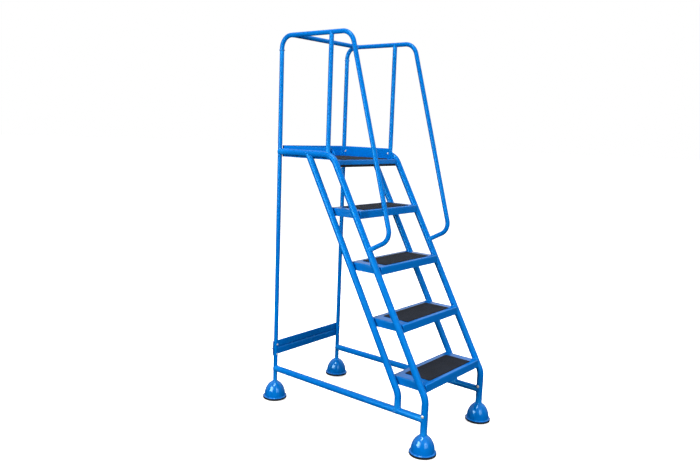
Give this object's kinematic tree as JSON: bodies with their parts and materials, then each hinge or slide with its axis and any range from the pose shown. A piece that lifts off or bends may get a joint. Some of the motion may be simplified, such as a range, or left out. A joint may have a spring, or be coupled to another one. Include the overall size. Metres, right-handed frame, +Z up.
{
  "type": "rolling warehouse ladder",
  "caption": "Rolling warehouse ladder with a welded tube frame, anti-slip treads, a guarded platform with toe boards, and domed feet hiding sprung castors.",
  "frame": {"origin": "on the floor under the middle of the four feet, with the castors down", "axes": "+X to the climber's right, +Y from the foot of the steps towards the back of the platform, +Z up"},
  "size_m": [0.6212, 1.0452, 1.8534],
  "materials": {
    "blue_paint": "glossy blue powder coat",
    "black_paint": "matt black paint",
    "slate_mat": "matte dark slate anti-slip rubber with a fine grain",
    "black_rubber": "matte black moulded rubber",
    "zinc": "pale zinc plate",
    "spring_steel": "dark oiled spring steel",
    "wheel_nylon": "satin dark grey nylon"
  },
  "bodies": {
    "frame": {"base_rail_left": "blue_paint", "base_rail_right": "blue_paint", "brace_bolt_lower_left": "zinc", "brace_bolt_lower_right": "zinc", "brace_bolt_upper_left": "zinc", "brace_bolt_upper_right": "zinc", "castor_spring_front_left": "spring_steel", "castor_spring_front_right": "spring_steel", "castor_spring_rear_left": "spring_steel", "castor_spring_rear_right": "spring_steel", "foot_dome_front_left": "blue_paint", "foot_dome_front_right": "blue_paint", "foot_dome_rear_left": "blue_paint", "foot_dome_rear_right": "blue_paint", "foot_rubber_front_left": "black_rubber", "foot_rubber_front_right": "black_rubber", "foot_rubber_rear_left": "black_rubber", "foot_rubber_rear_right": "black_rubber", "front_stringer_left": "blue_paint", "front_stringer_right": "blue_paint", "handrail_cross_rail": "blue_paint", "handrail_left": "blue_paint", "handrail_right": "blue_paint", "leg_bolt_left": "zinc", "leg_bolt_right": "zinc", "mid_upright_left": "blue_paint", "mid_upright_right": "blue_paint", "platform_bearer": "black_paint", "platform_deck": "blue_paint", "platform_mat": "slate_mat", "rear_brace": "blue_paint", "rear_leg_left": "blue_paint", "rear_leg_right": "blue_paint", "rear_stringer_left": "blue_paint", "rear_stringer_right": "blue_paint", "toe_board": "blue_paint", "tread_1": "blue_paint", "tread_2": "blue_paint", "tread_3": "blue_paint", "tread_4": "blue_paint", "tread_mat_1": "slate_mat", "tread_mat_2": "slate_mat", "tread_mat_3": "slate_mat", "tread_mat_4": "slate_mat"},
    "stem_front_left": {"castor_stem_front_left": "zinc"},
    "swivel_front_left": {"castor_fork_front_left": "zinc", "castor_axle_front_left": "zinc"},
    "roller_front_left": {"castor_wheel_front_left": "wheel_nylon"},
    "stem_front_right": {"castor_stem_front_right": "zinc"},
    "swivel_front_right": {"castor_fork_front_right": "zinc", "castor_axle_front_right": "zinc"},
    "roller_front_right": {"castor_wheel_front_right": "wheel_nylon"},
    "stem_rear_left": {"castor_stem_rear_left": "zinc"},
    "swivel_rear_left": {"castor_fork_rear_left": "zinc", "castor_axle_rear_left": "zinc"},
    "roller_rear_left": {"castor_wheel_rear_left": "wheel_nylon"},
    "stem_rear_right": {"castor_stem_rear_right": "zinc"},
    "swivel_rear_right": {"castor_fork_rear_right": "zinc", "castor_axle_rear_right": "zinc"},
    "roller_rear_right": {"castor_wheel_rear_right": "wheel_nylon"}
  },
  "joints": [
    {"name": "castor_retract_front_left", "type": "slide", "parent": "frame", "child": "stem_front_left", "axis": [0, 0, 1], "range_m": [0, 0.005], "stiffness_N_per_m": 5000, "springref_m": -0.03, "deforming": ["castor_spring_front_left"]},
    {"name": "castor_swivel_front_left", "type": "hinge", "parent": "stem_front_left", "child": "swivel_front_left", "pos_m": [-0.249, -0.461, 0.042], "axis": [0, 0, 1], "continuous": true},
    {"name": "wheel_spin_front_left", "type": "hinge", "parent": "swivel_front_left", "child": "roller_front_left", "pos_m": [-0.249, -0.448, 0.01871], "axis": [1, 0, 0], "continuous": true},
    {"name": "castor_retract_front_right", "type": "slide", "parent": "frame", "child": "stem_front_right", "axis": [0, 0, 1], "range_m": [0, 0.005], "stiffness_N_per_m": 5000, "springref_m": -0.03, "deforming": ["castor_spring_front_right"]},
    {"name": "castor_swivel_front_right", "type": "hinge", "parent": "stem_front_right", "child": "swivel_front_right", "pos_m": [0.249, -0.461, 0.042], "axis": [0, 0, 1], "continuous": true},
    {"name": "wheel_spin_front_right", "type": "hinge", "parent": "swivel_front_right", "child": "roller_front_right", "pos_m": [0.249, -0.448, 0.01871], "axis": [1, 0, 0], "continuous": true},
    {"name": "castor_retract_rear_left", "type": "slide", "parent": "frame", "child": "stem_rear_left", "axis": [0, 0, 1], "range_m": [0, 0.005], "stiffness_N_per_m": 5000, "springref_m": -0.03, "deforming": ["castor_spring_rear_left"]},
    {"name": "castor_swivel_rear_left", "type": "hinge", "parent": "stem_rear_left", "child": "swivel_rear_left", "pos_m": [-0.249, 0.461, 0.042], "axis": [0, 0, 1], "continuous": true},
    {"name": "wheel_spin_rear_left", "type": "hinge", "parent": "swivel_rear_left", "child": "roller_rear_left", "pos_m": [-0.249, 0.474, 0.01871], "axis": [1, 0, 0], "continuous": true},
    {"name": "castor_retract_rear_right", "type": "slide", "parent": "frame", "child": "stem_rear_right", "axis": [0, 0, 1], "range_m": [0, 0.005], "stiffness_N_per_m": 5000, "springref_m": -0.03, "deforming": ["castor_spring_rear_right"]},
    {"name": "castor_swivel_rear_right", "type": "hinge", "parent": "stem_rear_right", "child": "swivel_rear_right", "pos_m": [0.249, 0.461, 0.042], "axis": [0, 0, 1], "continuous": true},
    {"name": "wheel_spin_rear_right", "type": "hinge", "parent": "swivel_rear_right", "child": "roller_rear_right", "pos_m": [0.249, 0.474, 0.01871], "axis": [1, 0, 0], "continuous": true}
  ]
}
